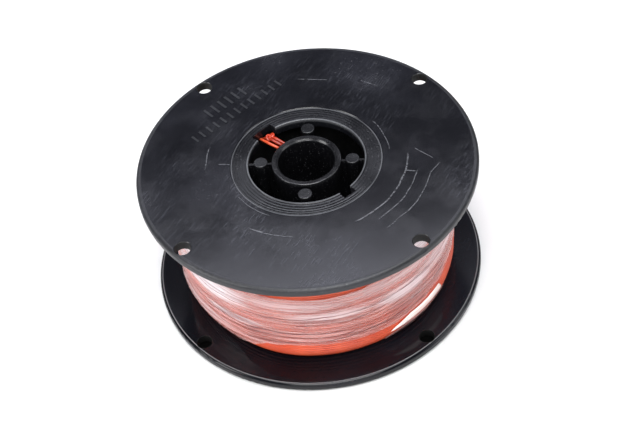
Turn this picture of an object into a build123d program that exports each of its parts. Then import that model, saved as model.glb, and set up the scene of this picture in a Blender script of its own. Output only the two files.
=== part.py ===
"""String reel for racket string: two flanges, a drum on a tubular hub, the wound string and its wrap.

The reel lies on one flange. Millimetres, +Z up along the reel's axis, origin at the centre of the
bottom face.
"""
from build123d import *
import os
from math import cos, pi, radians, sin, tan

os.makedirs("parts", exist_ok=True)

# Driving dimensions
overall_height = 68.4
flange_radius = 76.2
flange_thickness = 4.2
rim_round = 1.4

drive_hole_radius = 3.5
drive_hole_circle = 71.25
drive_hole_turn = 37.3
drive_hole_chamfer = 0.4

hub_turn = -6.8
collar_radius = 33.8
collar_thickness = 4.4
collar_opening = 26.0
collar_lip = 1.1
collar_recess = 0.35
lip_round = 0.3
seam_chamfer = 0.3
groove_radii = (28.6, 30.0, 31.4, 32.6)
groove_width = 0.5
groove_depth = 0.25
notch_floor_radius = 29.6
start_notch_turn = 129.5
start_notch_width = 11.0
small_notch_turn = -55.0
small_notch_width = 6.4

drum_bore_radius = 30.8
start_slot_width = 3.2
start_slot_height = 4.0

bore_radius = 12.75
tube_radius = 15.5
tube_chamfer = 0.7
tube_round = 0.4

post_radius = 3.1
post_circle = 20.45
post_recess = 0.25
post_round = 0.3
web_thickness = 1.2
web_recess = 1.4

string_diameter = 1.3
winding_inner_radius = 33.9
winding_edge_radius = 59.3
winding_belly_radius = 63.7
winding_shoulder = 9.0
shoulder_fullness = 0.62
shoulder_rise = 0.38
winding_clearance = 0.1
film_gap = 0.05
film_thickness = 0.25
film_lower_edge = 6.0
film_upper_edge = 61.0

# Stops of the string's start: radius, turn and height of each.
start_stops = (
    (33.6, 129.5, 61.6),
    (26.2, 130.0, 64.3),
    (17.2, 131.0, 60.6),
    (16.8, 134.0, 46.4),
    (18.4, 142.0, 33.4),
)
bend_share = 0.45
knot_place = (25.8, 127.0, 64.0)
knot_radius = 2.5

# Plain bars stand where a real reel has moulded lettering.
bar_height = 0.25
long_row_distance = 47.3
long_row_count = 13
long_row_pitch = 4.2
long_bar = (1.1, 4.8)
short_row_distance = 55.9
short_row_count = 6
short_row_pitch = 4.1
short_bar = (1.2, 6.4)
inner_rows = ((62.6, 8, 3.6), (66.9, 6, 3.8), (70.9, 3, 3.6))
inner_bar = (0.9, 2.2)

top = overall_height
under_top = top - flange_thickness
mid_plane = Plane.XY.offset(top / 2)


def finish(name, part):
    """Labels a finished piece and writes its STEP file."""
    part.label = name
    export_step(part, f"parts/{name}.step")


def polar(radius, turn, height):
    """The point at a radius and a turn about the reel's axis, in degrees, at a height."""
    return (radius * cos(radians(turn)), radius * sin(radians(turn)), height)


def row_of_bars(turn, distance, count, pitch, bar, base, height):
    """Adds a straight row of bars, square to the direction of turn."""
    with BuildSketch(Plane.XY.offset(base).rotated((0, 0, turn - 90))) as row:
        with Locations((0, distance)):
            with GridLocations(pitch, 1, count, 1):
                Rectangle(*bar)
    extrude(row.sketch, amount=height)


def drive_holes(start, amount, radius, taper=0):
    """Cuts the four drive holes, or their countersinks, down or up from a height."""
    with BuildSketch(Plane.XY.offset(start)) as holes:
        with PolarLocations(drive_hole_circle, 4, start_angle=drive_hole_turn):
            Circle(radius)
    extrude(holes.sketch, amount=amount, taper=taper, mode=Mode.SUBTRACT)


# Flange moulding: a disc with a rounded rim and four drive holes.
with BuildPart() as flange:
    with BuildSketch(Plane.XY.offset(under_top)):
        Circle(flange_radius)
        Circle(collar_radius, mode=Mode.SUBTRACT)
    extrude(amount=flange_thickness)
    hole_edges = flange.edges().filter_by(GeomType.CIRCLE).group_by(SortBy.RADIUS)[0]
    chamfer(hole_edges.sort_by(Axis.Z)[-1:], length=seam_chamfer)
    rim_edges = flange.edges().filter_by(GeomType.CIRCLE).group_by(SortBy.RADIUS)[-1]
    fillet(rim_edges, radius=rim_round)
    drive_holes(under_top - 1, flange_thickness + 2, drive_hole_radius)
    drive_holes(top, -drive_hole_chamfer, drive_hole_radius + drive_hole_chamfer, taper=45)
    for distance, count, pitch in inner_rows:
        row_of_bars(hub_turn - 90, distance, count, pitch, inner_bar, under_top, -bar_height)

with BuildPart() as upper_flange:
    add(flange.part)
    row_of_bars(
        drive_hole_turn + 90, long_row_distance, long_row_count, long_row_pitch,
        long_bar, top, bar_height,
    )
    row_of_bars(
        drive_hole_turn + 90, short_row_distance, short_row_count, short_row_pitch,
        short_bar, top, bar_height,
    )
finish("upper_flange", upper_flange.part)

with BuildPart() as lower_flange:
    mirror(flange.part, about=mid_plane)
finish("lower_flange", lower_flange.part)

# Collar: the ring that closes each end of the drum inside the flange, with a raised lip round the
# hub's opening, fine turned grooves and two notches cut out through the lip.
with BuildPart() as upper_collar:
    with BuildSketch(Plane.XY.offset(top - collar_thickness)):
        Circle(collar_radius)
        Circle(collar_opening, mode=Mode.SUBTRACT)
    extrude(amount=collar_thickness - collar_recess)
    with BuildSketch(Plane.XY.offset(top - collar_recess)):
        Circle(collar_opening + collar_lip)
        Circle(collar_opening, mode=Mode.SUBTRACT)
    extrude(amount=collar_recess)
    lip_edges = upper_collar.edges().filter_by(GeomType.CIRCLE).group_by(Axis.Z)[-1]
    fillet(lip_edges, radius=lip_round)
    for groove in groove_radii:
        with BuildSketch(Plane.XY.offset(top - collar_recess)):
            Circle(groove + groove_width / 2)
            Circle(groove - groove_width / 2, mode=Mode.SUBTRACT)
        extrude(amount=-groove_depth, mode=Mode.SUBTRACT)
    for turn, width in (
        (start_notch_turn, start_notch_width),
        (small_notch_turn, small_notch_width),
    ):
        with BuildSketch(Plane.XY.offset(top).rotated((0, 0, turn))):
            with Locations(((notch_floor_radius + tube_radius) / 2, 0)):
                Rectangle(notch_floor_radius - tube_radius, width)
        extrude(amount=-collar_thickness, mode=Mode.SUBTRACT)
finish("upper_collar", upper_collar.part)

with BuildPart() as lower_collar:
    mirror(upper_collar.part, about=mid_plane)
finish("lower_collar", lower_collar.part)

# Drum between the collars, with the slot that lets the string's start through.
drum_height = top - 2 * collar_thickness
with BuildPart() as drum:
    with BuildSketch(Plane.XY.offset(collar_thickness)):
        Circle(collar_radius)
        Circle(drum_bore_radius, mode=Mode.SUBTRACT)
    extrude(amount=drum_height)
    with BuildSketch(Plane.XY.offset(top - collar_thickness).rotated((0, 0, start_notch_turn))):
        with Locations(((drum_bore_radius + collar_radius) / 2, 0)):
            Rectangle(collar_radius - drum_bore_radius + 2, start_slot_width)
    extrude(amount=-start_slot_height, mode=Mode.SUBTRACT)
finish("drum", drum.part)

# Arbor tube: the bore that runs on the stringing bench's or winder's one-inch spindle.
with BuildPart() as arbor_tube:
    with BuildSketch():
        Circle(tube_radius)
        Circle(bore_radius, mode=Mode.SUBTRACT)
    extrude(amount=top)
    bore_edges = arbor_tube.edges().filter_by(GeomType.CIRCLE).group_by(SortBy.RADIUS)[0]
    chamfer(bore_edges, length=tube_chamfer)
    outer_edges = arbor_tube.edges().filter_by(GeomType.CIRCLE).group_by(SortBy.RADIUS)[-1]
    fillet(outer_edges, radius=tube_round)
finish("arbor_tube", arbor_tube.part)

# Four round posts stand between tube and drum. Thin webs tie the east and west ones to both.
for name, turn in (("east", 0), ("north", 90), ("west", 180), ("south", 270)):
    with BuildPart() as post:
        with BuildSketch(Plane.XY.offset(post_recess)):
            with Locations(polar(post_circle, turn + hub_turn, 0)[:2]):
                Circle(post_radius)
        extrude(amount=top - 2 * post_recess)
        fillet(post.edges().filter_by(GeomType.CIRCLE), radius=post_round)
    finish(f"post_{name}", post.part)

web_spans = (("inner", tube_radius, post_circle), ("outer", post_circle, drum_bore_radius))
web_levels = ((web_recess, collar_opening), (collar_thickness, drum_bore_radius))
for side, turn in (("east", hub_turn), ("west", hub_turn + 180)):
    for place, near, far in web_spans:
        with BuildPart() as web:
            for low, reach in web_levels:
                with BuildSketch(Plane.XY.offset(low).rotated((0, 0, turn))):
                    with Locations(((near + far) / 2, 0)):
                        Rectangle(far - near + 1, web_thickness)
                    Circle(tube_radius, mode=Mode.SUBTRACT)
                    Circle(reach, mode=Mode.INTERSECT)
                    with Locations((post_circle, 0)):
                        Circle(post_radius, mode=Mode.SUBTRACT)
                extrude(amount=top - 2 * low)
        finish(f"web_{side}_{place}", web.part)


# Wound string: the whole pack as one solid, straight in the middle, rounded off at both flanges.
def wound_section(growth):
    """The pack's half section in the XZ plane, with its outer side moved out by growth."""
    low = flange_thickness + winding_clearance
    high = top - low
    edge = winding_edge_radius + growth
    belly = winding_belly_radius + growth
    shoulder = edge + shoulder_fullness * (belly - edge)
    rise = shoulder_rise * winding_shoulder
    with BuildSketch(Plane.XZ) as section:
        with BuildLine():
            Polyline(
                (edge, high), (winding_inner_radius, high), (winding_inner_radius, low), (edge, low)
            )
            ThreePointArc((edge, low), (shoulder, low + rise), (belly, low + winding_shoulder))
            Line((belly, low + winding_shoulder), (belly, high - winding_shoulder))
            ThreePointArc((belly, high - winding_shoulder), (shoulder, high - rise), (edge, high))
        make_face()
    return section.sketch


with BuildPart() as string_winding:
    revolve(wound_section(0), axis=Axis.Z)
finish("string_winding", string_winding.part)

# Stretch film: a thin sleeve over the pack that leaves its two edges bare.
with BuildPart() as stretch_film:
    revolve(wound_section(film_gap + film_thickness), axis=Axis.Z)
    revolve(wound_section(film_gap), axis=Axis.Z, mode=Mode.SUBTRACT)
    split(bisect_by=Plane.XY.offset(film_lower_edge), keep=Keep.TOP)
    split(bisect_by=Plane.XY.offset(film_upper_edge), keep=Keep.BOTTOM)
finish("stretch_film", stretch_film.part)

# The string's start: out of the pack through the drum's slot, over to the tube and down beside it.
start_route = [polar(*stop) for stop in start_stops]
start_points = [Vector(*point) for point in start_route]
bend_radii = []
for before, corner, after in zip(start_points, start_points[1:], start_points[2:]):
    turn = radians((corner - before).get_angle(after - corner))
    shorter_run = min((corner - before).length, (after - corner).length)
    bend_radii.append(bend_share * shorter_run / tan(turn / 2))
print("start of the string, bend radii in mm:", [round(radius, 2) for radius in bend_radii])

with BuildPart() as string_start_tail:
    with BuildLine() as tail_path:
        FilletPolyline(*start_route, radius=bend_radii)
    with BuildSketch(Plane(origin=tail_path.line @ 0, z_dir=tail_path.line % 0)):
        Circle(string_diameter / 2)
    sweep()
finish("string_start_tail", string_start_tail.part)
tail_length = tail_path.wires()[0].length
tail_section = pi * (string_diameter / 2) ** 2
print("its length in mm:", round(tail_length, 2))
print("volume over section times length:", string_start_tail.part.volume / tail_section / tail_length)

with BuildPart() as string_start_knot:
    with Locations(polar(*knot_place)):
        Sphere(knot_radius)
    add(string_start_tail.part, mode=Mode.SUBTRACT)
finish("string_start_knot", string_start_knot.part)
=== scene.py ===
import math

import bpy
from mathutils import Matrix, Vector, noise


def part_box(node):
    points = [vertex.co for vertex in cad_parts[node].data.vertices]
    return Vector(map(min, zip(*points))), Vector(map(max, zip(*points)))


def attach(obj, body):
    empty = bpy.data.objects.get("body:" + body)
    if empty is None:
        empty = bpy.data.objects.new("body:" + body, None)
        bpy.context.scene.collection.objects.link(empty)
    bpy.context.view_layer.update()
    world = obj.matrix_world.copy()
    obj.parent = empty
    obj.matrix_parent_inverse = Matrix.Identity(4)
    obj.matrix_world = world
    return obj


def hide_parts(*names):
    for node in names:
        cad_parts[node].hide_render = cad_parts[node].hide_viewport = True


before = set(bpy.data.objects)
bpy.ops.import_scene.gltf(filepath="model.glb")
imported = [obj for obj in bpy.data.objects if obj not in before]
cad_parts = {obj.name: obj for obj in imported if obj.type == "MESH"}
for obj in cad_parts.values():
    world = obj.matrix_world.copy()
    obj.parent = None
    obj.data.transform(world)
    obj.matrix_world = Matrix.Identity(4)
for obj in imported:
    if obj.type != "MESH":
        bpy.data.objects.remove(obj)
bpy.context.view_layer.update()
top_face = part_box("arbor_tube")[1].z


# ---- Studio --------------------------------------------------------------------------------
# A white table top under six soft light boxes: one overhead, one behind, two in front and a
# strip at each side. The reel lies flat and is looked down on from in front.

def place_camera():
    """A long lens, leaning a little to one side, in front of the reel and well above it."""
    stand = (0.0029, -0.4653, 0.5242)
    look_down = math.radians(46.56)
    lean = math.radians(-7.55)
    lens_data = bpy.data.cameras.new("camera")
    lens_data.lens = 82.7
    camera = bpy.data.objects.new("camera", lens_data)
    tilt = Matrix.Rotation(math.pi / 2 - look_down, 4, "X") @ Matrix.Rotation(lean, 4, "Z")
    camera.matrix_world = Matrix.Translation(stand) @ tilt
    bpy.context.collection.objects.link(camera)
    bpy.context.scene.camera = camera


def hang_light(name, place, aim, size, watts, tint=(1, 1, 1)):
    """A soft rectangular light box at a place, facing a point."""
    box = bpy.data.lights.new(name, "AREA")
    box.shape = "RECTANGLE"
    box.size, box.size_y = size
    box.energy = watts
    box.color = tint
    light = bpy.data.objects.new(name, box)
    light.location = place
    light.rotation_euler = (Vector(place) - Vector(aim)).to_track_quat("Z", "Y").to_euler()
    bpy.context.collection.objects.link(light)


def make_node(tree, kind, inputs=None, **settings):
    """A shader node; inputs maps a socket's name or number to a value or to another output."""
    node = tree.nodes.new(kind)
    for setting, value in settings.items():
        setattr(node, setting, value)
    for key, value in (inputs or {}).items():
        socket = node.inputs[key]
        if isinstance(value, bpy.types.NodeSocket):
            tree.links.new(value, socket)
        else:
            socket.default_value = value
    return node


def new_finish(name):
    """An empty node material and its shader tree."""
    finish = bpy.data.materials.new(name)
    finish.use_nodes = True
    finish.node_tree.nodes.clear()
    return finish, finish.node_tree


def calc(tree, operation, *values, clamp=False):
    """One sum on shader values; gives the result's output."""
    return make_node(
        tree, "ShaderNodeMath", dict(enumerate(values)), operation=operation, use_clamp=clamp
    ).outputs[0]


def product(tree, *values):
    """Several shader values multiplied."""
    result = values[0]
    for value in values[1:]:
        result = calc(tree, "MULTIPLY", result, value)
    return result


def total(tree, *values):
    """Several shader values added up."""
    result = values[0]
    for value in values[1:]:
        result = calc(tree, "ADD", result, value)
    return result


def diagonal(tree, along, across):
    """The straight distance covered by one step along and one across."""
    return calc(tree, "SQRT", total(tree, product(tree, along, along), product(tree, across, across)))


def rise(tree, value, low, high, start=0.0, end=1.0):
    """A value carried smoothly from start at low to end at high."""
    return make_node(
        tree, "ShaderNodeMapRange",
        {"Value": value, "From Min": low, "From Max": high, "To Min": start, "To Max": end},
        interpolation_type="SMOOTHSTEP",
    ).outputs[0]


def tint_mix(tree, share, first, second):
    """Two colours mixed by a share from 0 to 1."""
    mix = make_node(tree, "ShaderNodeMix", {0: share, 6: first, 7: second}, data_type="RGBA")
    return mix.outputs[2]


def grain(tree, vector, scale, detail=3.0, roughness=0.55):
    """Cloudy variation between 0 and 1 along a vector."""
    return make_node(
        tree, "ShaderNodeTexNoise",
        {"Vector": vector, "Scale": scale, "Detail": detail, "Roughness": roughness},
    ).outputs["Fac"]


def reel_places(tree):
    """The surface point, its radius from the reel's axis, its turn in degrees and its height."""
    point = make_node(tree, "ShaderNodeTexCoord").outputs["Object"]
    split = make_node(tree, "ShaderNodeSeparateXYZ", {0: point}).outputs
    radius = diagonal(tree, split[0], split[1])
    turn = calc(tree, "DEGREES", calc(tree, "ARCTAN2", split[1], split[0]))
    return point, radius, turn, split[2]


def close_finish(tree, surface):
    """Joins a surface shader to the material's output."""
    make_node(tree, "ShaderNodeOutputMaterial", {"Surface": surface})


def table_top():
    """Smooth white laminate, with a painted shadow where the reel's foot stands."""
    half, level = 3.0, -0.0003
    painted_shadow_radius, painted_shadow_fade = 0.075, 0.0005
    mesh = bpy.data.meshes.new("table_top")
    corners = [(x * half, y * half, level) for x, y in ((-1, -1), (1, -1), (1, 1), (-1, 1))]
    mesh.from_pydata(corners, [], [(0, 1, 2, 3)])
    laminate, tree = new_finish("white_laminate_with_painted_shadow")
    _, radius, _, _ = reel_places(tree)
    outside_painted_shadow = rise(tree, radius, painted_shadow_radius - painted_shadow_fade, painted_shadow_radius + painted_shadow_fade)
    # Painted shadow: near black under the reel's foot, white laminate beyond it.
    tone = tint_mix(tree, outside_painted_shadow, (0.003, 0.003, 0.003, 1), (0.74, 0.74, 0.74, 1))
    shader = make_node(tree, "ShaderNodeBsdfPrincipled", {
        "Base Color": tone, "Roughness": 0.7, "Specular IOR Level": 0.0,
    })
    close_finish(tree, shader.outputs[0])
    mesh.materials.append(laminate)
    table = bpy.data.objects.new("table_top", mesh)
    bpy.context.collection.objects.link(table)


place_camera()
table_top()
hang_light("overhead_box", (0.0, -0.1, 1.55), (0, -0.05, 0), (1.2, 0.8), 20.0, (0.96, 0.98, 1))
hang_light("rear_box", (0.0, 0.735, 1.36), (0, 0, 0.06), (1.3, 0.5), 10.0, (0.88, 0.89, 1))
hang_light("frontal_box", (0.0, -0.75, 1.35), (0, 0, 0), (1.0, 0.6), 17.0)
hang_light("low_front_box", (0.0, -1.3, 0.5), (0, 0, 0.03), (1.3, 0.5), 6.0)
hang_light("left_strip", (-1.1, -0.35, 0.55), (0, 0, 0.03), (0.5, 0.9), 9.0)
hang_light("right_strip", (1.1, -0.3, 0.5), (0, 0, 0.03), (0.5, 0.9), 3.0)

world = bpy.data.worlds.new("room")
world.use_nodes = True
world.node_tree.nodes["Background"].inputs["Color"].default_value = (1, 1, 1, 1)
world.node_tree.nodes["Background"].inputs["Strength"].default_value = 0.06
bpy.context.scene.world = world
bpy.context.scene.view_settings.view_transform = "Standard"


# ---- Start of the string -------------------------------------------------------------------
# The string's first end comes through the slot in the drum, stopped by a knot, then lies over to
# the arbor tube and hangs down beside it. It is orange racket string, 1.3 mm thick.

STRING = 0.0013
# Stops of the string's start: radius and turn about the reel's axis, and height, in millimetres
# and degrees. Its second strand, its cut end and its knot's middle are given in the same way.
START_STOPS = (
    (33.6, 129.5, 61.6),
    (26.8, 132.4, 64.5),
    (21.0, 132.6, 65.0),
    (17.2, 125.0, 62.6),
    (16.7, 125.0, 50.0),
    (18.2, 137.0, 36.4),
)
SECOND_STRAND = (
    (29.6, 127.6, 62.4), (25.6, 128.0, 65.4), (20.8, 127.6, 65.9), (17.2, 121.0, 63.8),
    (16.6, 119.0, 56.0),
)
CUT_END = ((27.0, 126.0, 63.6), (24.2, 124.4, 65.8), (20.8, 123.4, 66.2), (17.4, 118.0, 64.4))
KNOT_PLACE = (25.6, 125.6, 65.0)


def string_finish(name, deep, bright):
    """Glossy coloured monofilament, a little uneven in shade along its length."""
    finish, tree = new_finish(name)
    point, _, _, _ = reel_places(tree)
    shade = grain(tree, point, 70.0, 2.0)
    fine = grain(tree, point, 1500.0, 1.0)
    colour = tint_mix(tree, rise(tree, shade, 0.3, 0.7), (*deep, 1), (*bright, 1))
    bump = make_node(tree, "ShaderNodeBump", {"Strength": 0.08, "Distance": 0.0001, "Height": fine})
    shader = make_node(tree, "ShaderNodeBsdfPrincipled", {
        "Base Color": colour, "Roughness": 0.28, "IOR": 1.5, "Normal": bump.outputs[0],
    })
    close_finish(tree, shader.outputs[0])
    return finish


string_orange = string_finish("orange_string", (0.52, 0.060, 0.024), (0.66, 0.095, 0.034))
string_shaded = string_finish("shaded_orange_string", (0.12, 0.009, 0.006), (0.46, 0.040, 0.015))


def around_reel(turn, radius, height):
    """A point at a turn in degrees, a radius and a height."""
    angle = math.radians(turn)
    return Vector((radius * math.cos(angle), radius * math.sin(angle), height))


def string_stop(radius, turn, height):
    """A point in metres from a stop's radius, turn in degrees and height in millimetres."""
    return around_reel(turn, radius, height) / 1000


def string_line(name, stops, steps):
    """A smooth curve that follows a few stops, drawn with so many steps between them."""
    curve = bpy.data.curves.new(name, "CURVE")
    curve.dimensions = "3D"
    line = curve.splines.new("NURBS")
    line.points.add(len(stops) - 1)
    for place, stop in zip(line.points, stops):
        place.co = (*string_stop(*stop), 1)
    line.order_u = 3
    line.use_endpoint_u = True
    line.resolution_u = steps
    return curve


start_curve = string_line("string_start", START_STOPS, 16)
start_curve.bevel_depth = STRING / 2
start_curve.bevel_resolution = 3
start_curve.use_fill_caps = True
start_curve.materials.append(string_orange)
string_start = bpy.data.objects.new("string_start", start_curve)
bpy.context.collection.objects.link(string_start)
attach(string_start, "root")
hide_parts("string_start_tail")


def mesh_piece(name, points, faces, finish):
    """A new smooth mesh piece that rides on the reel."""
    mesh = bpy.data.meshes.new(name)
    mesh.from_pydata(points, [], faces)
    mesh.validate()
    mesh.materials.append(finish)
    mesh.shade_smooth()
    piece = bpy.data.objects.new(name, mesh)
    bpy.context.collection.objects.link(piece)
    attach(piece, "root")
    return piece


def string_along(path, sides=8):
    """Points and faces of a closed-ended length of string along a path of vectors."""
    points, faces = [], []
    upright = Vector((0, 0, 1))
    last = len(path) - 1
    for stop, centre in enumerate(path):
        heading = (path[min(stop + 1, last)] - path[max(stop - 1, 0)]).normalized()
        side = heading.cross(upright)
        if side.length < 1e-3:
            side = heading.cross(Vector((1, 0, 0)))
        side.normalize()
        upright = side.cross(heading).normalized()
        for step in range(sides):
            angle = 2 * math.pi * step / sides
            out = side * math.cos(angle) + upright * math.sin(angle)
            points.append(centre + out * STRING / 2)
    for stop in range(last):
        for step in range(sides):
            near, far = stop * sides + step, stop * sides + (step + 1) % sides
            faces.append((near, far, far + sides, near + sides))
    faces.append(tuple(range(sides)))
    faces.append(tuple(reversed(range(last * sides, last * sides + sides))))
    return points, faces


def laid_over(name, stops):
    """A short length of string that follows a few stops."""
    holder = bpy.data.objects.new(name + "_line", string_line(name, stops, 10))
    path = [corner.co.copy() for corner in bpy.data.meshes.new_from_object(holder).vertices]
    bpy.data.objects.remove(holder)
    points, faces = string_along(path, 10)
    return mesh_piece(name, points, faces, string_shaded)


def stopper_knot():
    """An overhand knot pulled tight on the doubled string."""
    centre = string_stop(*KNOT_PLACE)
    inward = Vector((-centre.x, -centre.y, 0)).normalized()
    across = Vector((-inward.y, inward.x, 0))
    up = Vector((0, 0, 1))
    size, wide, tall, deep = 0.00105, 0.66, 0.42, 0.95
    start, overlap, steps = -0.15, 1.02, 96
    path = []
    for step in range(steps + 1):
        t = start + 2 * math.pi * step / steps * overlap
        x = math.sin(t) + 2 * math.sin(2 * t)
        y = math.cos(t) - 2 * math.cos(2 * t)
        z = -math.sin(3 * t)
        path.append(centre + (across * x * wide + up * y * tall + inward * z * deep) * size)
    points, faces = string_along(path, 10)
    return mesh_piece("string_start_knot_turns", points, faces, string_shaded)


# The string is doubled back over the tube's edge and tied, which leaves a second strand and the
# cut end beside the knot.
knot = stopper_knot()
second_strand = laid_over("string_start_second_strand", SECOND_STRAND)
cut_end = laid_over("string_start_cut_end", CUT_END)
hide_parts("string_start_knot")


# ---- Flanges -------------------------------------------------------------------------------
# Two moulded discs of black plastic with four drive holes each. Handling has left the upper one
# hazy and scratched, with a rubbed rim and rubbed tops on its raised bars; the lower is cleaner.

# Shade is painted on the drive holes' walls, and a painted highlight on the lower flange's upper
# edge.
rim_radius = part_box("upper_flange")[1].x
flange_thickness = 0.0042
hole_radius = 0.0035
hole_circle = 0.07125
first_hole_turn = 37.3

# Arcs worn into the upper face: radius, first and last turn, and line width.
ARC_SCRATCHES = (
    (44.8, -66, -6, 0.46), (49.8, -56, -19, 0.32), (55.9, -56, -19, 0.30),
    (46.4, -126, -103, 0.34), (45.2, 160, 176, 0.40), (37.1, 0, 30, 0.26), (36.0, -150, -122, 0.20),
)
# Straight scratches: start and end, as places across the upper face, and line width.
LINE_SCRATCHES = (
    ((42.3, -14.6), (47.2, -16.2), 0.36), ((53.0, -17.8), (57.6, -12.8), 0.30),
    ((-27.4, -37.4), (-22.4, -40.0), 0.34), ((48.4, -2.0), (55.0, -9.0), 0.22),
    ((30.2, 47.0), (37.0, 42.0), 0.22), ((1.0, 54.0), (14.0, 51.0), 0.2),
    ((-38.6, 4.2), (-34.2, 3.2), 0.3),
)
# Fine rubbed lines: their direction in degrees, their fineness, and how rare their patches are.
HATCHINGS = ((-36, 1700.0, 0.40), (42, 1600.0, 0.54), (-58, 1900.0, 0.48))


def span(tree, value, low, high, soft):
    """1 where a value lies between low and high, fading over soft."""
    return product(tree, rise(tree, value, low - soft, low + soft),
                   rise(tree, value, high - soft, high + soft, 1.0, 0.0))


def strongest(tree, masks):
    """The largest of several masks, or 0 where there are none."""
    top = 0.0
    for mask in masks:
        top = calc(tree, "MAXIMUM", top, mask)
    return top


def worn_line(tree, off, width):
    """A line worn through near its middle and fading out at a width in millimetres."""
    return rise(tree, off, width * 0.2 / 1000, width / 1000, 1.0, 0.0)


def turned_scratch(tree, radius, turn, wobble, at, first, last, width):
    """A worn arc at a radius in millimetres, from one turn to another in degrees."""
    wander = 0.0022
    drift = product(tree, calc(tree, "SUBTRACT", wobble, 0.5), wander)
    off = calc(tree, "ABSOLUTE", calc(tree, "SUBTRACT", total(tree, radius, drift), at / 1000))
    return product(tree, worn_line(tree, off, width), span(tree, turn, first, last, 2.0))


def straight_scratch(tree, point, start, end, width):
    """A worn straight line between two places across the face, in millimetres."""
    start, end = Vector(start) / 1000, Vector(end) / 1000
    along = (end - start).normalized()
    offset = make_node(tree, "ShaderNodeVectorMath", {0: point, 1: (start.x, start.y, 0)},
                       operation="SUBTRACT").outputs[0]
    down = make_node(tree, "ShaderNodeVectorMath", {0: offset, 1: (along.x, along.y, 0)},
                     operation="DOT_PRODUCT").outputs["Value"]
    aside = make_node(tree, "ShaderNodeVectorMath", {0: offset, 1: (-along.y, along.x, 0)},
                      operation="DOT_PRODUCT").outputs["Value"]
    line = worn_line(tree, calc(tree, "ABSOLUTE", aside), width)
    return product(tree, line, span(tree, down, 0.0, (end - start).length, 0.0006))


def upper_face_scratches(tree, point, radius, turn, height, speck):
    """Every scratch of the upper face, broken up into specks."""
    wobble = grain(tree, point, 60.0, 2.0)
    lines = [turned_scratch(tree, radius, turn, wobble, *arc) for arc in ARC_SCRATCHES]
    lines += [straight_scratch(tree, point, *line) for line in LINE_SCRATCHES]
    breaks = rise(tree, speck, 0.36, 0.60, 0.1, 1.0)
    upper_face = rise(tree, height, top_face - 0.0009, top_face - 0.0004)
    return product(tree, strongest(tree, lines), breaks, upper_face)


def hatching(tree, point, turn, fineness, rarity):
    """Fine rubbed lines in one direction, drawn out to ten times their width, in patches."""
    drawn_out = make_node(tree, "ShaderNodeMapping", {
        "Vector": point, "Rotation": (0, 0, math.radians(turn)), "Scale": (1, 10, 1),
    }, vector_type="TEXTURE").outputs[0]
    lines = grain(tree, drawn_out, fineness, 2.0, 0.5)
    patches = rise(tree, grain(tree, point, 26.0, 2.0), rarity, rarity + 0.2)
    return product(tree, rise(tree, lines, 0.52, 0.72), patches)


def drive_hole_walls(tree, radius, turn):
    """1 on the walls of the four drive holes, which the light hardly reaches; painted shade darkens
    them.
    """
    past_hole = calc(tree, "PINGPONG", total(tree, turn, 360 - first_hole_turn), 45.0)
    aside = product(tree, calc(tree, "RADIANS", past_hole), radius)
    outward = calc(tree, "SUBTRACT", radius, hole_circle)
    away = diagonal(tree, aside, outward)
    return rise(tree, away, hole_radius + 0.0001, hole_radius + 0.00035, 1.0, 0.0)


def rim_wear(tree, radius, turn, height, speck):
    """Rubbed specks along the upper flange's outer edge, most of them at the left."""
    return product(
        tree, rise(tree, radius, rim_radius - 0.0025, rim_radius - 0.0012),
        rise(tree, speck, 0.42, 0.62, 0.35, 1.0),
        rise(tree, height, top_face - 0.0016, top_face - 0.0006),
        rise(tree, turn, 120.0, 150.0, 0.45, 1.0),
    )


def painted_edge_highlight(tree, radius, height):
    """A painted highlight: the light line along the lower flange's upper edge."""
    return product(
        tree, span(tree, radius, rim_radius - 0.0015, rim_radius - 0.0011, 0.00015),
        span(tree, height, flange_thickness - 0.0006, flange_thickness + 0.0004, 0.0002),
    )


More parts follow.
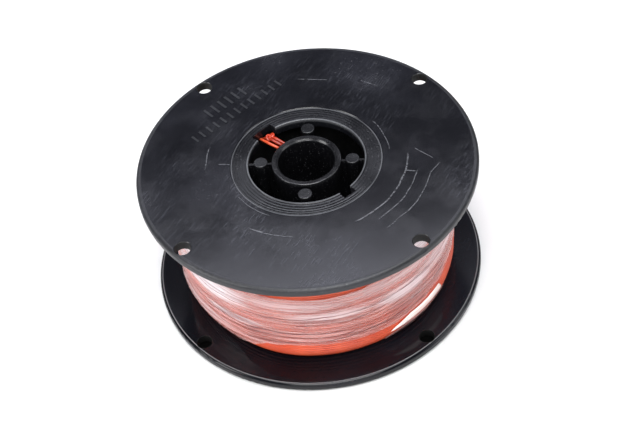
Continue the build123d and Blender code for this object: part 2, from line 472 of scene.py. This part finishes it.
def flange_plastic(name, worn, sheen):
    """Black moulded plastic; worn is 1 for the handled upper flange and less for the lower."""
    finish, tree = new_finish(name)
    point, radius, turn, height = reel_places(tree)
    cloud = grain(tree, point, 22.0, 4.0)
    speck = grain(tree, point, 900.0, 2.0)
    smudge = grain(tree, point, 58.0, 3.0)
    gouged = upper_face_scratches(tree, point, radius, turn, height, speck)
    rubbed = strongest(tree, [hatching(tree, point, *patch) for patch in HATCHINGS])
    dusty = product(tree, rise(tree, speck, 0.66, 0.74), rise(tree, cloud, 0.45, 0.7))
    bars = rise(tree, height, top_face + 0.00012, top_face + 0.0002)
    holes = drive_hole_walls(tree, radius, turn)
    tone = tint_mix(tree, rise(tree, cloud, 0.35, 0.7), (0.0036, 0.0038, 0.0056, 1),
                    (0.0074, 0.0078, 0.0115, 1))
    for mask, strength, tint in (
        (rubbed, 0.10 * worn, (0.13, 0.135, 0.17)),
        (dusty, 0.2 * worn, (0.2, 0.2, 0.21)),
        (rim_wear(tree, radius, turn, height, speck), 0.13 * worn, (0.16, 0.165, 0.17)),
        (bars, 0.13, (0.14, 0.145, 0.155)),
        # painted highlight along the lower flange's upper edge
        (painted_edge_highlight(tree, radius, height), 0.5, (0.3, 0.3, 0.31)),
        # painted shade on the drive holes' walls
        (holes, 1.0, (0.002, 0.002, 0.002)),
        (gouged, 0.5 * worn, (0.17, 0.175, 0.19)),
    ):
        tone = tint_mix(tree, product(tree, mask, strength), tone, (*tint, 1))
    rough = total(
        tree, rise(tree, cloud, 0.3, 0.75, 0.10 + 0.05 * worn, 0.12 + 0.12 * worn),
        rise(tree, smudge, 0.46, 0.64, 0.0, 0.045 * worn),
        product(tree, rubbed, 0.05 * worn), product(tree, holes, 0.6),
        rise(tree, radius, rim_radius - 0.0026, rim_radius - 0.0015, 0.0, 0.24 * worn),
    )
    sunk = total(tree, gouged, product(tree, rubbed, 0.1 * worn))
    relief = calc(tree, "SUBTRACT", product(tree, speck, 0.08), sunk)
    bump = make_node(tree, "ShaderNodeBump", {
        "Strength": 0.12 + 0.2 * worn, "Distance": 0.0002, "Height": relief,
    })
    shader = make_node(tree, "ShaderNodeBsdfPrincipled", {
        "Base Color": tone, "Roughness": rough, "IOR": sheen, "Normal": bump.outputs[0],
    })
    close_finish(tree, shader.outputs[0])
    return finish


def paint(node, finish):
    """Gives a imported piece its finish."""
    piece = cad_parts[node]
    piece.data.materials.clear()
    piece.data.materials.append(finish)


paint("upper_flange", flange_plastic("handled_black_plastic", worn=1.0, sheen=1.5))
paint("lower_flange", flange_plastic("clean_black_plastic", worn=0.15, sheen=1.36))


# ---- Hub -----------------------------------------------------------------------------------
# Collars, drum, arbor tube, four posts and their webs: the same black plastic. It is satin, with
# painted highlights as lighter rings on the tube's rim and the collar's lip and seam, and greyer on
# the post ends.
# The front of the collar has painted highlights on its turned grooves, as fine light rings.

def ring_bands(tree, radius, rings, soft):
    """1 on rings given as radius from and to in millimetres."""
    return strongest(tree, [span(tree, radius, near / 1000, far / 1000, soft) for near, far in rings])


def hub_plastic(name, body, satin=0.36, rubbed=(0.03, 0.03, 0.03), edges=(), threads=()):
    """Satin black plastic, lighter on edge rings (painted highlights on the collar and tube, greyer
    post ends), with painted highlights on turned threads in front.
    """
    finish, tree = new_finish(name)
    point, radius, turn, height = reel_places(tree)
    cloud = grain(tree, point, 60.0, 3.0)
    speck = grain(tree, point, 1300.0, 2.0)
    from_middle = calc(tree, "ABSOLUTE", calc(tree, "SUBTRACT", height, top_face / 2))
    end_face = rise(tree, from_middle, top_face / 2 - 0.0018, top_face / 2 - 0.0007)
    edge_highlight_and_wear = product(tree, ring_bands(tree, radius, edges, 0.0002), end_face,
                        rise(tree, cloud, 0.3, 0.6, 0.55, 1.0))
    # Painted highlights on the turned threads, only at the front where the light catches them.
    painted_front_thread_highlights = product(tree, ring_bands(tree, radius, threads, 0.00012), end_face,
                          span(tree, turn, -138, -46, 8.0), rise(tree, speck, 0.3, 0.6, 0.5, 1.0))
    darker = [part * 0.75 for part in body]
    tone = tint_mix(tree, rise(tree, cloud, 0.3, 0.7), (*darker, 1), (*body, 1))
    # The rubbed tint is painted highlight on the collar's and tube's edge rings and on the front
    # threads, and greys the post ends.
    for mask, strength, tint in (
        (edge_highlight_and_wear, 1.0, rubbed),
        (painted_front_thread_highlights, 0.75, rubbed),
        (rise(tree, speck, 0.62, 0.7), 0.15, (0.2, 0.2, 0.21)),
    ):
        tone = tint_mix(tree, product(tree, mask, strength), tone, (*tint, 1))
    rough = rise(tree, cloud, 0.3, 0.7, satin, satin + 0.12)
    bump = make_node(tree, "ShaderNodeBump", {"Strength": 0.2, "Distance": 0.0001, "Height": speck})
    shader = make_node(tree, "ShaderNodeBsdfPrincipled", {
        "Base Color": tone, "Roughness": rough, "IOR": 1.5, "Normal": bump.outputs[0],
    })
    close_finish(tree, shader.outputs[0])
    return finish


# The collar's edge rings and front threads are painted highlights.
collar_plastic = hub_plastic(
    "collar_plastic", (0.0062, 0.0066, 0.0088), satin=0.2, rubbed=(0.085, 0.088, 0.095),
    edges=((25.9, 26.7), (33.35, 33.9)),
    threads=((27.6, 27.8), (29.2, 29.4), (30.6, 30.9), (31.9, 32.1), (32.8, 33.0)),
)
post_plastic = hub_plastic(
    "post_plastic", (0.004, 0.004, 0.005), satin=0.15, rubbed=(0.009, 0.0094, 0.011),
    edges=((17.0, 24.0),),
)
# The tube's edge rings are painted highlights.
tube_plastic = hub_plastic(
    "tube_plastic", (0.004, 0.004, 0.005), satin=0.16, rubbed=(0.014, 0.0145, 0.0165),
    edges=((12.4, 13.3), (15.0, 15.6)),
)
for node in ("upper_collar", "lower_collar"):
    paint(node, collar_plastic)
paint("drum", hub_plastic("shaded_plastic", (0.006, 0.006, 0.0065)))
paint("arbor_tube", tube_plastic)
for side in ("east", "north", "west", "south"):
    paint(f"post_{side}", post_plastic)
for side in ("east", "west"):
    for place in ("inner", "outer"):
        paint(f"web_{side}_{place}", post_plastic)


# ---- Wound string --------------------------------------------------------------------------
# Orange racket string laid turn beside turn from flange to flange. The last layer is real turns,
# and so are the few strands that cross it; the layers below are one pack, seen between turns.
# Where the foot of the pack has slumped, its turns are dragged in towards the drum.

pack_low, pack_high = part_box("string_winding")
belly_radius = pack_high.x
edge_radius = 0.0593
shoulder_height = 0.0090
shoulder_fullness = 0.85
slump_turn = -152.0
slump_reach = 48.0
slump_depth = 0.0022
slump_growth = 0.55


def slump(turn):
    """How far the pack's foot has been dragged in, from 0 to 1, by turn in degrees."""
    away = abs((turn - slump_turn + 180) % 360 - 180)
    return 0.5 + 0.5 * math.cos(math.pi * min(1.0, away / slump_reach))


def pack_side(turn, height):
    """The wound pack's outer radius at a turn and height, drawn in towards both flanges."""
    foot, head = height - pack_low.z, pack_high.z - height
    dragged = slump(turn)
    reach, drawn_in = shoulder_height, belly_radius - edge_radius
    if foot < head:
        reach *= 1 + slump_growth * dragged
        drawn_in += slump_depth * dragged
    share = max(0.0, min(1.0, min(foot, head) / reach))
    return belly_radius - drawn_in * (1 - math.sin(share * math.pi / 2) ** shoulder_fullness)


string_below = string_finish("orange_string_below", (0.52, 0.05, 0.015), (0.66, 0.08, 0.02))


def wound_core():
    """The layers below the last one, with their own turns as low ridges."""
    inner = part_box("drum")[1].x + 0.0001
    around, rows = 240, 188
    low, high = pack_low.z, pack_high.z
    points, faces = [], []
    for step in range(around):
        turn = -180 + 360 * step / around
        points.append(around_reel(turn, inner, low))
        for row in range(rows + 1):
            height = low + (high - low) * row / rows
            valley = 1 - abs(math.sin(math.pi * (height - low) / STRING + math.radians(turn) / 2))
            sunk = (0.34 + 0.16 * valley) * STRING
            points.append(around_reel(turn, pack_side(turn, height) - sunk, height))
        points.append(around_reel(turn, inner, high))
    size = rows + 3
    for step in range(around):
        here, there = step * size, (step + 1) % around * size
        for row in range(size):
            follow = (row + 1) % size
            faces.append((here + row, there + row, there + follow, here + follow))
    return mesh_piece("string_pack", points, faces, string_below)


def last_layer():
    """The last layer of turns, with the small drifts of a fast winder."""
    per_turn = 120
    pitch = STRING * 1.02
    clear = STRING * 0.55
    wander_around, wander_up, finer = 1.9, 85, 1.7
    low, high = pack_low.z + clear, pack_high.z - clear
    stops = int((high - low) / pitch * per_turn)
    path = []
    for stop in range(stops + 1):
        turn = 360 * stop / per_turn
        angle = math.radians(turn)
        height = low + pitch * stop / per_turn
        spot = Vector((math.cos(angle) * wander_around, math.sin(angle) * wander_around,
                       height * wander_up))
        drift = noise.noise(spot) * 0.5 * STRING
        lift = noise.noise(spot * finer + Vector((9, 4, 2))) * 0.16 * STRING
        radius = pack_side(turn, height + drift) - STRING * 0.5 + lift
        path.append(around_reel(turn, radius, height + drift))
    points, faces = string_along(path)
    return mesh_piece("string_last_layer", points, faces, string_orange)


# Strands that cross the last layer: the turn and height where each starts and ends.
CROSSINGS = (
    (-236.0, 0.0275, 62.0, 0.0452),
    (-150.0, 0.0245, 130.0, 0.0160),
    (20.0, 0.0330, 250.0, 0.0560),
)


def crossing_height(crossing, turn):
    """The height of a crossing strand at a turn in degrees, or nothing where it doesn't pass."""
    first, low, last, high = crossing
    for lap in (-360, 0, 360):
        if first <= turn + lap <= last:
            share = (turn + lap - first) / (last - first)
            return low + (high - low) * share
    return None


def crossing_turn(number, crossing):
    """One strand that lies across the last layer and dives under it at both ends."""
    first, low, last, high = crossing
    stops = int((last - first) / 3)
    path = []
    for stop in range(stops + 1):
        share = stop / stops
        turn = first + (last - first) * share
        height = low + (high - low) * share
        sunk = STRING * (0.22 + 0.9 * max(0.0, 1 - 9 * min(share, 1 - share)))
        path.append(around_reel(turn, pack_side(turn, height) - sunk, height))
    points, faces = string_along(path)
    return mesh_piece(f"string_crossing_turn_{number}", points, faces, string_orange)


core = wound_core()
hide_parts("string_winding")
last_layer()
for number, crossing in enumerate(CROSSINGS, 1):
    crossing_turn(number, crossing)


# ---- Stretch film --------------------------------------------------------------------------
# A narrow strip of clear film pulled tight round the string to stop it springing loose. Its layers
# cling in long creases round the reel. One stretch of its lower edge is folded into a bright hem.

# Milky patches where the film's layers stand apart, some of them painted highlights (the large one at
# turn -142 and the two at turns -152 and -46.5 under the front drive holes): turn, height, half width
# and half height, in degrees and millimetres, and strength.
MILKY_AND_HIGHLIGHT_PATCHES = (
    (-142, 42, 21, 7.5, 1.0), (-131, 27.6, 14, 2.3, 0.8), (-88, 35.8, 17, 3.0, 0.6),
    (-55, 35, 15, 4.2, 0.8), (-33, 38, 18, 6, 0.6), (-104, 43, 24, 3.6, 0.4),
    (-62, 45.5, 24, 3.6, 0.45), (-150, 19, 24, 4, 0.4), (-152, 55, 10, 6, 1.0),
    (-46.5, 56.5, 10, 5.5, 1.0), (22, 34, 26, 7, 0.8), (66, 42, 30, 5, 0.7),
    (104, 24, 30, 5, 0.6), (150, 36, 24, 9, 0.8),
)
# Creases pulled tight across the reel, drawn as lines of painted shade: first turn and height, last
# turn and height, half width.
LONG_CREASES = (
    (-124, 35.2, -64, 35.6, 0.26), (-102, 30.2, -66, 32.4, 0.26), (-146, 25.2, -84, 25.0, 0.34),
    (-109, 21.8, -78, 23.2, 0.36), (-126, 16.8, -58, 22.4, 0.26), (-150, 22.2, -112, 23.0, 0.26),
    (-62, 30.4, -30, 30.0, 0.26), (-60, 25.2, -32, 25.8, 0.30), (-62, 36.2, -34, 36.6, 0.24),
    (-140, 38.6, -118, 38.0, 0.22), (-66, 27.8, -28, 28.0, 0.22), (-72, 20.4, -46, 21.6, 0.26),
    (-30, 33.0, 40, 29.0, 0.3), (0, 44.0, 96, 40.0, 0.3), (60, 26.0, 170, 22.0, 0.34),
)
# Stretches where the film clings closely and the orange shows through, given in the same way.
CLEAR_STRETCHES = (
    (-92, 39.2, -50, 41.6, 1.0), (-112, 17.8, -66, 18.0, 0.9), (-84, 25.6, -54, 24.0, 4.2),
    (-112, 28.4, -84, 28.0, 1.4), (30, 22.0, 80, 20.0, 2.4), (120, 44.0, 165, 46.0, 1.2),
)
# The creases don't lie level: they rise and fall by this much, once round the reel.
film_sway, sway_start = 0.0028, 2.2


def ribbon(tree, angle, level, around, across, start=0.0):
    """Places stretched along the film, so that what is drawn on them runs round the reel."""
    return make_node(tree, "ShaderNodeCombineXYZ", {
        0: total(tree, product(tree, calc(tree, "COSINE", angle), around), start),
        1: product(tree, calc(tree, "SINE", angle), around),
        2: product(tree, level, across),
    }).outputs[0]


def crease_lines(tree, places, thin, thick):
    """Long fine lines that wander, part and meet, as creases do."""
    wander = grain(tree, places, 1.0, 1.0, 0.4)
    off = calc(tree, "ABSOLUTE", calc(tree, "SUBTRACT", wander, 0.5))
    return rise(tree, off, thin, thick, 1.0, 0.0)


def drawn_across(tree, turn, height_mm, first, low, last, high, width):
    """A soft-edged line from one turn and height to another."""
    slope = (high - low) / (last - first)
    on_line = calc(tree, "MULTIPLY_ADD", turn, slope, low - first * slope)
    off = calc(tree, "ABSOLUTE", calc(tree, "SUBTRACT", height_mm, on_line))
    line = rise(tree, off, width * 0.2, width * 1.2, 1.0, 0.0)
    return product(tree, line, span(tree, turn, first, last, 3.5))


def milk_and_highlight_mask(tree, turn, height_mm):
    """Every milky patch, painted highlights among them, strongest in its middle."""
    patches = []
    for at_turn, at_height, wide, tall, strength in MILKY_AND_HIGHLIGHT_PATCHES:
        aside = calc(tree, "DIVIDE", calc(tree, "SUBTRACT", turn, at_turn), wide)
        above = calc(tree, "DIVIDE", calc(tree, "SUBTRACT", height_mm, at_height), tall)
        away = total(tree, product(tree, aside, aside), product(tree, above, above))
        patches.append(rise(tree, away, 0.0, 1.6, strength, 0.0))
    return strongest(tree, patches)


def film_skin(tree, milk, haze_tint, dark, bump):
    """See-through film under a milky veil and painted shade in its creases, with a shiny outside."""
    clear = make_node(tree, "ShaderNodeBsdfTransparent", {"Color": (1, 0.98, 0.975, 1)})
    haze = make_node(tree, "ShaderNodeBsdfDiffuse", {"Color": haze_tint, "Normal": bump})
    # painted shade for the crease lines
    shade = make_node(tree, "ShaderNodeBsdfDiffuse", {"Color": (0.13, 0.03, 0.04, 1)})
    shine = make_node(tree, "ShaderNodeBsdfGlossy",
                      {"Color": (1, 1, 1, 1), "Roughness": 0.2, "Normal": bump})
    gloss = make_node(tree, "ShaderNodeLayerWeight", {"Blend": 0.3, "Normal": bump})
    shaded = calc(tree, "MULTIPLY", dark, 0.5, clamp=True)
    shiny = calc(tree, "MULTIPLY_ADD", gloss.outputs["Fresnel"], 0.7, 0.05, clamp=True)
    skin = clear.outputs[0]
    for share, layer in ((milk, haze), (shaded, shade), (shiny, shine)):
        skin = make_node(
            tree, "ShaderNodeMixShader", {0: share, 1: skin, 2: layer.outputs[0]}
        ).outputs[0]
    return skin


def film_finish():
    """Clear film: see-through where it clings, milky in patches with painted highlights among them,
    shiny along its creases, with painted shade and painted highlights on crease lines.
    """
    finish, tree = new_finish("clear_film")
    _, _, turn, height = reel_places(tree)
    angle = calc(tree, "RADIANS", turn)
    sway = product(tree, calc(tree, "SINE", total(tree, angle, sway_start)), film_sway)
    level = total(tree, height, sway)
    height_mm = product(tree, height, 1000.0)
    waver = grain(tree, ribbon(tree, angle, level, 2.6, 90.0, 3.0), 1.0, 2.0)
    waver = product(tree, calc(tree, "SUBTRACT", waver, 0.5), 3.4)
    wavering = total(tree, height_mm, waver)

    breaks = rise(tree, grain(tree, ribbon(tree, angle, level, 1.8, 60.0, 5.0), 1.0, 2.0), 0.34, 0.56)
    # Deep, fine and drawn crease lines are painted shade; the bright crease lines are painted
    # highlights.
    deep = crease_lines(tree, ribbon(tree, angle, level, 0.6, 230.0, 11.0), 0.004, 0.026)
    fine = crease_lines(tree, ribbon(tree, angle, level, 1.1, 560.0, 23.0), 0.008, 0.050)
    bright = crease_lines(tree, ribbon(tree, angle, level, 0.9, 400.0, 37.0), 0.006, 0.045)
    drawn = strongest(tree, [drawn_across(tree, turn, wavering, *line) for line in LONG_CREASES])
    clinging = strongest(
        tree, [drawn_across(tree, turn, wavering, *stretch) for stretch in CLEAR_STRETCHES]
    )
    # painted shade along the creases
    dark = strongest(tree, [
        product(tree, deep, breaks, 0.75), product(tree, fine, 0.4), product(tree, drawn, 1.5),
    ])

    streaks = grain(tree, ribbon(tree, angle, level, 0.8, 420.0), 1.0, 4.0, 0.55)
    # Milk: the film's own haze, with painted highlights in some patches and along the bright crease
    # lines.
    milky = milk_and_highlight_mask(tree, turn, height_mm)
    milk = total(
        tree, product(tree, milky, 0.42), rise(tree, streaks, 0.34, 0.70, 0.13, 0.32),
        product(tree, bright, 0.10),
    )
    hidden = strongest(tree, [product(tree, dark, 0.7), product(tree, clinging, 0.62)])
    milk = calc(tree, "MULTIPLY", milk, calc(tree, "SUBTRACT", 1.0, hidden), clamp=True)
    haze_tint = tint_mix(tree, milky, (0.97, 0.63, 0.60, 1), (0.94, 0.85, 0.89, 1))
    relief = total(tree, streaks, product(tree, dark, -0.6))
    bump = make_node(tree, "ShaderNodeBump", {"Strength": 0.55, "Distance": 0.0004, "Height": relief})
    close_finish(tree, film_skin(tree, milk, haze_tint, dark, bump.outputs[0]))
    return finish


def eased(stops, turn):
    """A value eased between stops, each a turn in degrees and a height in millimetres."""
    for (first, low), (last, high) in zip(stops, stops[1:]):
        if first <= turn <= last:
            share = (turn - first) / (last - first)
            return (low + (high - low) * share * share * (3 - 2 * share)) / 1000
    return stops[-1][1] / 1000


# The two edges of the sleeve: turn in degrees and height in millimetres.
SLEEVE_LOW = (
    (-180, 6.0), (-150, 6.0), (-134, 7.5), (-123, 12.0), (-115, 16.0), (-104, 17.2), (-65, 17.0),
    (-50, 18.4), (-37, 21.0), (-25, 23.0), (-12, 25.5), (10, 25.0), (50, 19.0), (100, 12.0),
    (145, 7.5), (180, 6.0),
)
SLEEVE_HIGH = (
    (-180, 60.2), (-128, 59.6), (-121, 53.6), (-115, 48.8), (-96, 48.0), (-75, 48.8), (-67, 54.0),
    (-58, 59.4), (40, 60.4), (120, 59.8), (180, 60.2),
)


def crease(turn, height):
    """How far the film stands off the string: long low creases round the reel."""
    angle = math.radians(turn)
    level = height + film_sway * math.sin(angle + sway_start)
    around, across, sharpness = 0.9, 330, 2.2
    spot = Vector((math.cos(angle) * around, math.sin(angle) * around, level * across))
    fold = 1 - abs(noise.noise(spot)) * sharpness
    finer = 1 - abs(noise.noise(spot * 2.3 + Vector((5, 1, 7)))) * sharpness
    stand = 0.00014 + 0.00036 * max(0.0, fold) ** 3 + 0.00018 * max(0.0, finer) ** 3
    for crossing in CROSSINGS:
        passing = crossing_height(crossing, turn)
        if passing is not None:
            stand = max(stand, 0.00055 * math.exp(-((height - passing) / 0.0011) ** 2) + 0.0001)
    return stand


def film_band(name, first, last, low_edge, high_edge, around, rows):
    """A band of film from one turn to another between two edges; a whole turn is closed."""
    closed = last - first >= 360
    columns = around if closed else around + 1
    edge_curl, curled_rows = 0.00022, 3
    points, faces = [], []
    for step in range(columns):
        turn = first + (last - first) * step / around
        low, high = low_edge(turn), high_edge(turn)
        for row in range(rows + 1):
            share = row / rows
            height = low + (high - low) * share
            from_edge = min(row, rows - row)
            curl = edge_curl * max(0.0, 1 - from_edge / curled_rows)
            radius = pack_side(turn, height) + crease(turn, height) + curl
            points.append(around_reel(turn, radius, height))
    size = rows + 1
    for step in range(around):
        here, there = step * size, (step + 1) % columns * size
        for row in range(rows):
            faces.append((here + row, there + row, there + row + 1, here + row + 1))
    return mesh_piece(name, points, faces, clear_film)


def fold_finish():
    """Several layers of film bunched together: milky white and very shiny."""
    finish, tree = new_finish("bunched_film")
    _, _, turn, height = reel_places(tree)
    angle = calc(tree, "RADIANS", turn)
    along = make_node(tree, "ShaderNodeCombineXYZ", {
        0: product(tree, angle, 3.0), 1: product(tree, height, 1400.0),
    }).outputs[0]
    pleats = grain(tree, along, 1.0, 3.0)
    tone = tint_mix(tree, rise(tree, pleats, 0.36, 0.62), (0.93, 0.62, 0.55, 1), (1.0, 0.96, 0.93, 1))
    bump = make_node(tree, "ShaderNodeBump", {"Strength": 0.35, "Distance": 0.0002, "Height": pleats})
    shader = make_node(tree, "ShaderNodeBsdfPrincipled", {
        "Base Color": tone, "Roughness": 0.16, "IOR": 1.5, "Normal": bump.outputs[0],
    })
    close_finish(tree, shader.outputs[0])
    return finish


hem_first, hem_last = -65.0, -34.5
hem_foot = 0.0126
hem_tallest, hem_thinnest = 0.0042, 0.0002
hem_stand_off, hem_plumpness = 0.00052, 0.00034


def film_hem():
    """The folded stretch of the lower edge: a flat roll that narrows to a point at one end."""
    stops, sides = 60, 14
    points, faces = [], []
    for stop in range(stops + 1):
        share = stop / stops
        turn = hem_first + (hem_last - hem_first) * share
        widening = min(1.0, (share / 0.34) ** 0.8)
        blunt_end = min(1.0, ((1 - share) / 0.06) ** 0.6)
        tall = hem_tallest * widening * blunt_end + hem_thinnest
        middle = hem_foot + 0.00005 + tall / 2 + 0.0007 * share
        for side in range(sides):
            lean = 2 * math.pi * side / sides
            height = middle + tall / 2 * math.sin(lean)
            plump = hem_plumpness * math.cos(lean) * min(1.0, tall / 0.0012)
            points.append(around_reel(turn, pack_side(turn, height) + hem_stand_off + plump, height))
    for stop in range(stops):
        for side in range(sides):
            near, far = stop * sides + side, stop * sides + (side + 1) % sides
            faces.append((near, near + sides, far + sides, far))
    faces.append(tuple(reversed(range(sides))))
    faces.append(tuple(range(stops * sides, stops * sides + sides)))
    return mesh_piece("film_hem", points, faces, fold_finish())


# Below the hem a short tail of loose film hangs: how far it runs past the hem at both ends, its
# lower edge, and how its upper edge slants down to its first end.
tail_first, tail_last = hem_first - 2, hem_last + 3
tail_foot = 0.0066


def tail_top(turn):
    """The height of the tail's upper edge at a turn in degrees."""
    drop, slant = 0.0030, 9
    return hem_foot - drop * max(0.0, 1 - (turn - tail_first) / slant)


clear_film = film_finish()
sleeve = film_band(
    "film_sleeve", -180, 180, lambda turn: eased(SLEEVE_LOW, turn),
    lambda turn: eased(SLEEVE_HIGH, turn), around=540, rows=110,
)
hem = film_hem()
tail = film_band(
    "film_tail", tail_first, tail_last, lambda turn: tail_foot, tail_top, around=60, rows=20
)
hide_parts("stretch_film")
